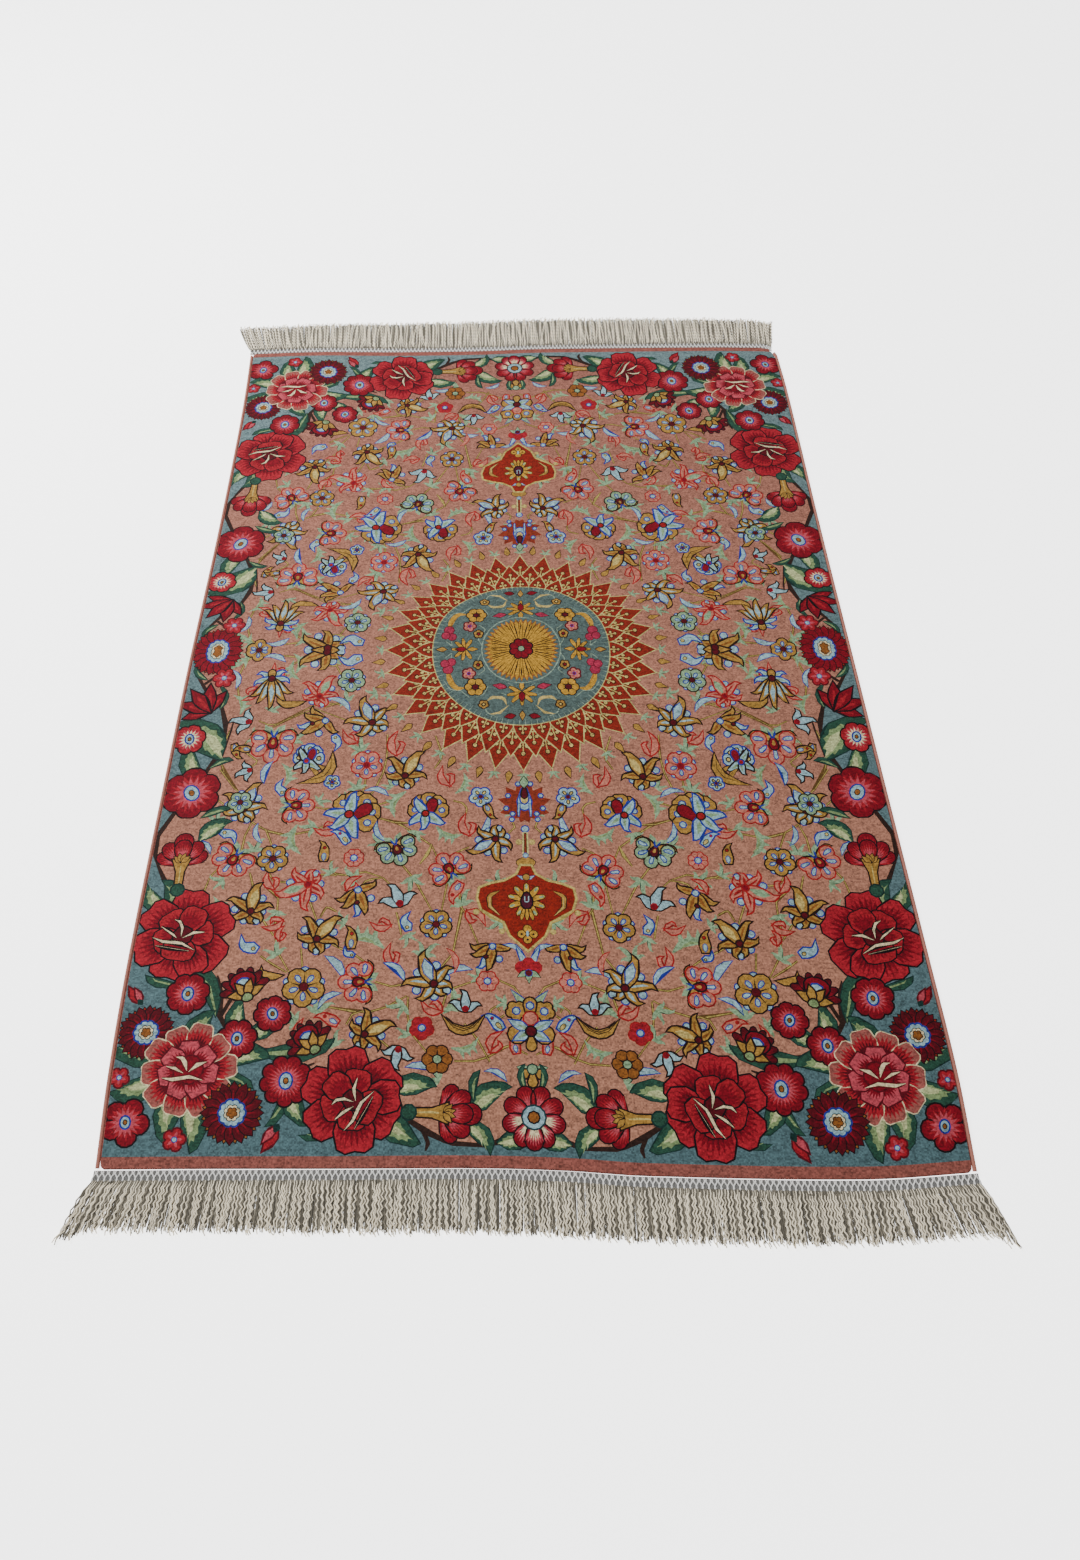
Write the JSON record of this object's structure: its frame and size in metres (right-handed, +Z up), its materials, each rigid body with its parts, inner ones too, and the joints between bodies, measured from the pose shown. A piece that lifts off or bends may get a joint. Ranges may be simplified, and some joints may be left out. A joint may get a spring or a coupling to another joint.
{
  "type": "persian rug",
  "caption": "Rectangular hand-knotted silk rug with a flowered field, sun medallion and wide floral border, overcast side cords, and a knotted net heading with a loose fringe at each end.",
  "frame": {"origin": "centre of the whole rug's bounding box, on the floor under it", "axes": "+X across the rug to the right as seen from the front end, +Y along its length towards the back end, +Z up out of the pile"},
  "size_m": [0.84, 1.3276, 0.004],
  "materials": {
    "knotted_silk": "short cut silk pile, softly lustrous, with the pattern knotted in",
    "overcast_silk": "silk yarn overcast round a cord, satin",
    "white_net": "knotted off-white warp ends, matte",
    "cream_fringe": "loose cream two-ply warp ends, crimped, matte"
  },
  "bodies": {
    "root": {"rug_body": "knotted_silk", "selvedge_left": "overcast_silk", "selvedge_right": "overcast_silk", "heading_front": "white_net", "heading_back": "white_net", "fringe_front": "cream_fringe", "fringe_back": "cream_fringe"}
  },
  "joints": []
}
